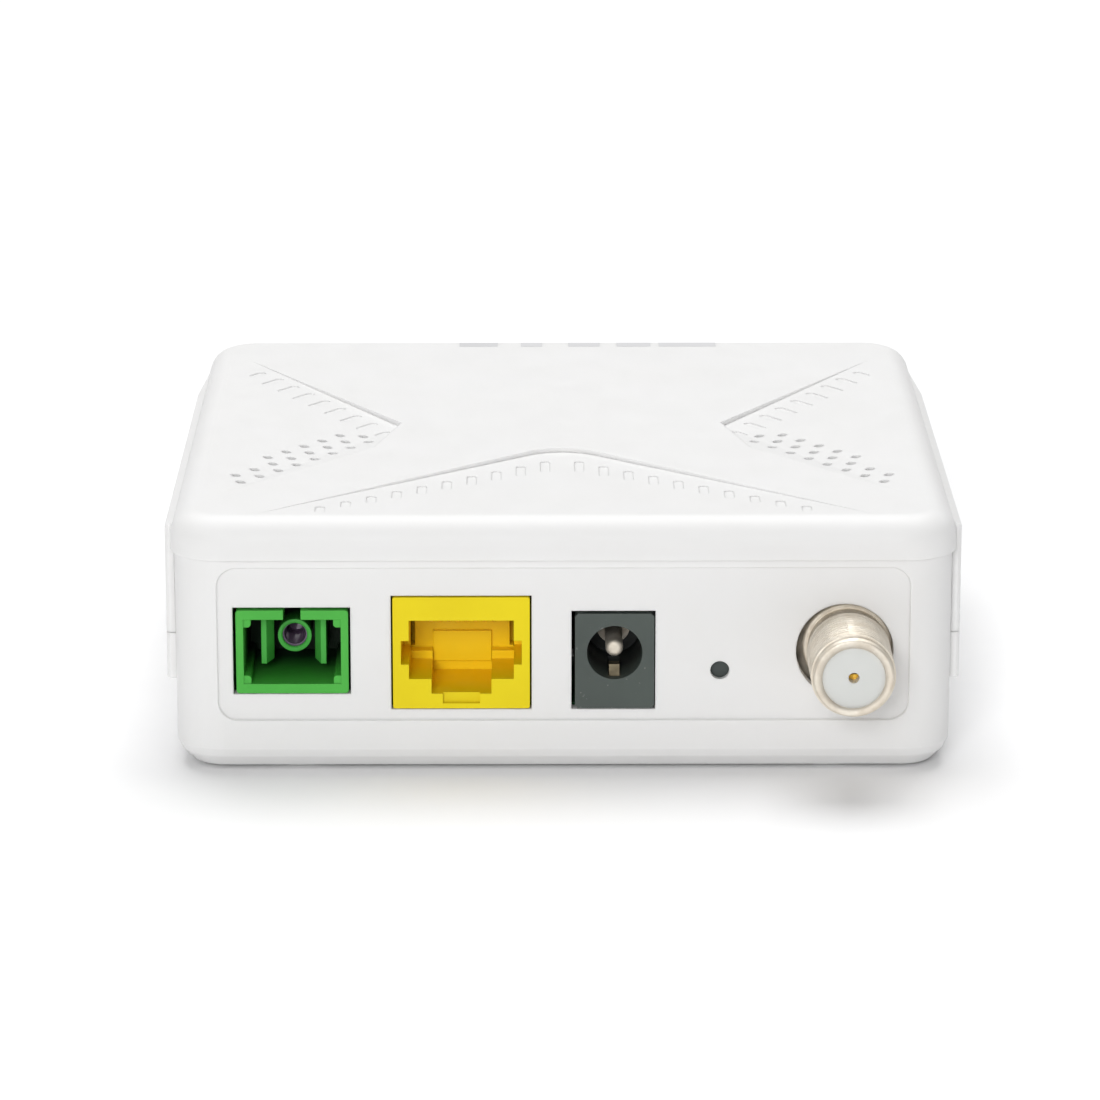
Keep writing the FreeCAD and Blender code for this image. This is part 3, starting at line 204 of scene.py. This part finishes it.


# Painted shade: green and grey get darker inside their ports, where little light reaches. Painted
# light: yellow turns a brighter, stronger orange towards the back of its port.
WHITE = plastic("case_white", (0.775, 0.773, 0.77), (0.767, 0.764, 0.757), 0.5, soft=0.2,
                uneven=0.04)
WHITE.set("Specular IOR Level", 0.35)
translucent(WHITE, 0.8)
GREEN = plastic("fibre_green", (0.07, 0.42, 0.056), (0.058, 0.375, 0.047), 0.42)
# Painted shade: the fibre port darkens towards its back.
paint_shading_by_depth(GREEN, (0.002, 0.03, 0.006), 1.0, 11.0)
HOOK_GREEN = plastic("hook_green", (0.075, 0.45, 0.07), (0.062, 0.41, 0.06), 0.42)
# Painted shade: the latch darkens behind the hooks.
paint_shading_by_depth(HOOK_GREEN, (0.002, 0.02, 0.004), 6.8, 11.0)
YELLOW = plastic("ethernet_yellow", (0.77, 0.62, 0.002), (0.73, 0.575, 0.001), 0.46)
# Painted light: the ethernet port turns a brighter, stronger orange towards its back.
paint_shading_by_depth(YELLOW, (0.92, 0.64, 0.004), 0.4, 5.0)
for satin in (GREEN, HOOK_GREEN, YELLOW):
    satin.set("Specular IOR Level", 0.25)
GREY = plastic("power_grey", (0.056, 0.073, 0.064), (0.044, 0.056, 0.050), 0.46)
dusty(GREY, (0.17, 0.18, 0.17), 0.7, 0.7)
# Painted shade: the power jack darkens inside its opening.
paint_shading_by_depth(GREY, (0.008, 0.012, 0.011), 0.8, 5.0)
BLACK = plastic("black_plastic", (0.02, 0.02, 0.02), (0.03, 0.03, 0.03), 0.5)
BUTTON = plastic("button_grey", (0.045, 0.055, 0.052), (0.03, 0.04, 0.04), 0.5)
INSULATOR = plastic("pale_insulator", (0.65, 0.66, 0.64), (0.61, 0.62, 0.60), 0.4, soft=0.05)
translucent(INSULATOR, 1.5)
CLEAR = plastic("clear_plastic", (0.85, 0.9, 0.92), (0.8, 0.85, 0.88), 0.2)
CLEAR.set("Transmission Weight", 0.8)
# Painted shade: the sleeve and ferrule are pale zirconia, coloured a dark purple grey to stand in
# for the shade inside the fibre port.
CERAMIC_PAINTED_SHADE = plastic("ceramic", (0.2, 0.14, 0.22), (0.15, 0.1, 0.17), 0.15, soft=0.04)
BOARD = plastic("board_green", (0.01, 0.11, 0.035), (0.008, 0.08, 0.025), 0.35)
PACKAGE = plastic("package_black", (0.018, 0.018, 0.02), (0.03, 0.03, 0.03), 0.55)
PAD = plastic("pad_grey", (0.2, 0.22, 0.26), (0.16, 0.18, 0.22), 0.8)
LAMP = plastic("lamp_resin", (0.8, 0.8, 0.5), (0.7, 0.7, 0.45), 0.3)
INK = plastic("ink_grey", (0.58, 0.58, 0.59), (0.64, 0.64, 0.65), 0.6, soft=0.01)
NICKEL = metal("nickel", (0.79, 0.74, 0.655), (0.68, 0.615, 0.52), 0.62)
GOLD = metal("gold", (1.0, 0.62, 0.10), (0.9, 0.52, 0.08), 0.42)
BRONZE = metal("spring_metal", (0.2, 0.17, 0.115), (0.15, 0.125, 0.08), 0.5)
STEEL = metal("steel", (0.55, 0.55, 0.56), (0.42, 0.42, 0.43), 0.3, brush=(1, 6, 1))
TIN = metal("tin_plate", (0.68, 0.68, 0.67), (0.55, 0.55, 0.55), 0.35, brush=(1, 8, 1))
ANODISED = metal("heat_sink_metal", (0.05, 0.05, 0.055), (0.08, 0.08, 0.085), 0.5, brush=(1, 8, 1))
FLOOR = plastic("floor_white", (0.915, 0.915, 0.918), (0.905, 0.905, 0.91), 0.9, grain=2.0,
                depth=0.002)
FLOOR.set("Specular IOR Level", 0.1)

FINISH = {
    "bottom_case": WHITE, "top_cover": WHITE,
    "case_screws": STEEL, "board_screws": STEEL, "switch_cover": STEEL, "switch_dome": STEEL,
    "main_board": BOARD,
    "fibre_housing": GREEN, "fibre_latch": HOOK_GREEN,
    "alignment_sleeve": CERAMIC_PAINTED_SHADE, "stub_ferrule": CERAMIC_PAINTED_SHADE,
    "optical_module": NICKEL, "coax_body": NICKEL, "power_pin": NICKEL,
    "optical_cans": GOLD, "optical_leads": GOLD, "ethernet_contacts": GOLD, "coax_contact": GOLD,
    "ethernet_housing": YELLOW, "ethernet_block": YELLOW,
    "power_housing": GREY, "power_spring": BRONZE, "power_side_contact": BRONZE,
    "switch_body": BLACK, "reset_button": BUTTON,
    "coax_insulator": INSULATOR,
    "status_lamps": LAMP, "light_guide": CLEAR,
    "processor": PACKAGE, "memory_chip": PACKAGE, "flash_chip": PACKAGE,
    "line_transformer": PACKAGE, "inductors": PACKAGE,
    "thermal_pad": PAD, "heat_sink": ANODISED, "capacitors": TIN,
    "clock_crystal": TIN, "shield_can": TIN,
}
for name, finish in FINISH.items():
    mesh = nodes[name].data
    mesh.materials.clear()
    mesh.materials.append(finish.material)


# ---------------- new pieces ----------------

def in_scene(name, mesh):
    made = bpy.data.objects.new(name, mesh)
    bpy.context.scene.collection.objects.link(made)
    return made


def piece(name, mesh, body, finish):
    """A finished piece that rides on a body."""
    made = in_scene(name, mesh)
    mesh.materials.clear()
    mesh.materials.append(finish.material)
    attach(made, body)
    return made


def plain_object(name, mesh):
    """Working object made of a bmesh, for use in a boolean."""
    bmesh.ops.recalc_face_normals(mesh, faces=mesh.faces)
    data = bpy.data.meshes.new(name)
    mesh.to_mesh(data)
    mesh.free()
    return in_scene(name, data)


def node_copy(node):
    """Working object with a welded copy of a CAD node's mesh."""
    mesh = bmesh.new()
    mesh.from_mesh(nodes[node].data)
    bmesh.ops.remove_doubles(mesh, verts=mesh.verts, dist=0.0005 * MM)
    return plain_object(node + "_copy", mesh)


def cut_from(base, cutter, smooth_angle):
    """Mesh of a base object less a cutter; both working objects are used up."""
    modifier = base.modifiers.new("cut", "BOOLEAN")
    modifier.operation = "DIFFERENCE"
    modifier.solver = "EXACT"
    modifier.object = cutter
    bpy.context.view_layer.update()
    depsgraph = bpy.context.evaluated_depsgraph_get()
    mesh = bpy.data.meshes.new_from_object(base.evaluated_get(depsgraph))
    for used in (base, cutter):
        bpy.data.objects.remove(used)
    for polygon in mesh.polygons:
        polygon.use_smooth = True
    mesh.set_sharp_from_angle(angle=math.radians(smooth_angle))
    return mesh


THREAD_PITCH = 25.4 / 32 * MM
THREAD_DEPTH = 0.15 * MM
STEPS_PER_TURN = 60


def helical_groove(centre, crest, start, end, pitch, depth):
    """Swept cutter for a right-handed thread round the Y axis, running out at both ends."""
    mesh = bmesh.new()
    clear = 0.05 * MM
    count = int((end - start) / pitch * STEPS_PER_TURN)
    sections = []
    for index in range(count + 1):
        middle = start + pitch * index / STEPS_PER_TURN
        fade = max(0.0, min(1.0, (middle - start) / pitch, (end - middle) / pitch))
        angle = 2 * math.pi * index / STEPS_PER_TURN
        root = crest - depth * fade + clear * (1 - fade)
        outer = crest + 4 * clear
        profile = ((-0.12 * pitch, root), (0.12 * pitch, root),
                   (0.42 * pitch, outer), (-0.42 * pitch, outer))
        sections.append([mesh.verts.new((centre.x + reach * math.sin(angle), middle + shift,
                                         centre.z + reach * math.cos(angle)))
                         for shift, reach in profile])
    for section, following in zip(sections, sections[1:]):
        for corner in range(4):
            after = (corner + 1) % 4
            mesh.faces.new((section[corner], section[after], following[after], following[corner]))
    mesh.faces.new(sections[0])
    mesh.faces.new(sections[-1][::-1])
    return plain_object("thread_cutter", mesh)


def make_coax_shell():
    """The coaxial body with the 32 per inch thread that its plug screws onto."""
    thread = mounts["coax_port_thread"]
    crest = thread["dims"]["r_mm"] * MM
    centre = Vector((thread["pos_m"][0], 0, thread["pos_m"][2]))
    middle = thread["pos_m"][1]
    reach = thread["dims"]["length_mm"] * MM / 2
    start = middle - reach
    end = middle + reach - 0.3 * MM
    cutter = helical_groove(centre, crest, start, end, THREAD_PITCH, THREAD_DEPTH)
    mesh = cut_from(node_copy("coax_body"), cutter, 28)
    shell = piece("coax_shell", mesh, "terminal", NICKEL)
    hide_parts("coax_body")


MARK_SPANS = ((-12.8, -7.9), (-4.9, -2.2), (1.2, 5.2), (7.4, 11.7), (12.8, 20.1))   # mm along X
MARK_BEFORE_EDGE = 1.7 * MM
MARK_PAST_EDGE = 1.3 * MM
MARK_ROWS = 7
COVER_EDGE_RADIUS = 3.0 * MM


def ink_strip(x0, x1):
    """Thin closed strip that follows the cover's flat and rounded far edge."""
    _, high = (Vector(corner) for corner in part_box("top_cover"))
    edge_y = high.y - COVER_EDGE_RADIUS
    near_y = edge_y - MARK_BEFORE_EDGE
    far_y = edge_y + MARK_PAST_EDGE
    mesh = bmesh.new()
    rows = []
    for step in range(MARK_ROWS):
        y = near_y + (far_y - near_y) * step / (MARK_ROWS - 1)
        past = max(0.0, y - edge_y)
        drop = COVER_EDGE_RADIUS - math.sqrt(COVER_EDGE_RADIUS ** 2 - past ** 2)
        rows.append([mesh.verts.new((x, y, high.z - drop + lift * MM))
                     for lift in (0.012, -0.03) for x in (x0, x1)])
    for row, following in zip(rows, rows[1:]):
        for first, second in ((0, 1), (1, 3), (3, 2), (2, 0)):
            mesh.faces.new((row[first], row[second], following[second], following[first]))
    for row in (rows[0], rows[-1]):
        mesh.faces.new((row[0], row[1], row[3], row[2]))
    bmesh.ops.recalc_face_normals(mesh, faces=mesh.faces)
    return mesh


def make_lamp_marks():
    """Plain printed dashes on the cover's far edge, one for each indicator."""
    for index, (x0, x1) in enumerate(MARK_SPANS, 1):
        name = "lamp_mark_%d" % index
        mesh = ink_strip(x0 * MM, x1 * MM)
        data = bpy.data.meshes.new(name)
        mesh.to_mesh(data)
        mesh.free()
        piece(name, data, "terminal", INK)


make_coax_shell()
make_lamp_marks()


# ---------------- stage, lights, camera ----------------

def plane(name, size):
    """Square in the resting plane."""
    mesh = bpy.data.meshes.new(name)
    half = size / 2
    corners = [(-half, -half, 0), (half, -half, 0), (half, half, 0), (-half, half, 0)]
    mesh.from_pydata(corners, [], [(0, 1, 2, 3)])
    return in_scene(name, mesh)


floor = plane("floor", 8.0)
floor.data.materials.append(FLOOR.material)

world = bpy.data.worlds.new("studio")
world.use_nodes = True
sky = world.node_tree.nodes["Background"]
sky.inputs["Color"].default_value = (1.0, 1.0, 1.0, 1.0)
sky.inputs["Strength"].default_value = 0.3
bpy.context.scene.world = world


def softbox(name, place, target, size, power):
    """Square area light that faces a target."""
    light = bpy.data.lights.new(name, "AREA")
    light.shape = "SQUARE"
    light.size = size
    light.energy = power
    made = bpy.data.objects.new(name, light)
    made.location = place
    direction = Vector(target) - Vector(place)
    made.rotation_mode = "QUATERNION"
    made.rotation_quaternion = direction.to_track_quat("-Z", "Y")
    bpy.context.scene.collection.objects.link(made)


softbox("key_overhead", (0.0, 0.68, 1.88), (0.0, 0.0, 0.0), 1.6, 37.0)
softbox("fill_front", (-0.3, -1.6, 0.62), (0.0, 0.0, 0.01), 0.6, 14.0)

CAMERA_PITCH = 15.785        # degrees below level
CAMERA_YAW = -0.252
camera_data = bpy.data.cameras.new("camera")
camera_data.lens = 165.4
camera_data.sensor_width = 36.0
camera_data.clip_start = 0.01
camera = bpy.data.objects.new("camera", camera_data)
camera.location = (-0.00395, -0.59224, 0.18148)
camera.rotation_euler = (math.radians(90 - CAMERA_PITCH), 0.0, math.radians(CAMERA_YAW))
bpy.context.scene.collection.objects.link(camera)
bpy.context.scene.camera = camera
bpy.context.scene.view_settings.view_transform = "Standard"
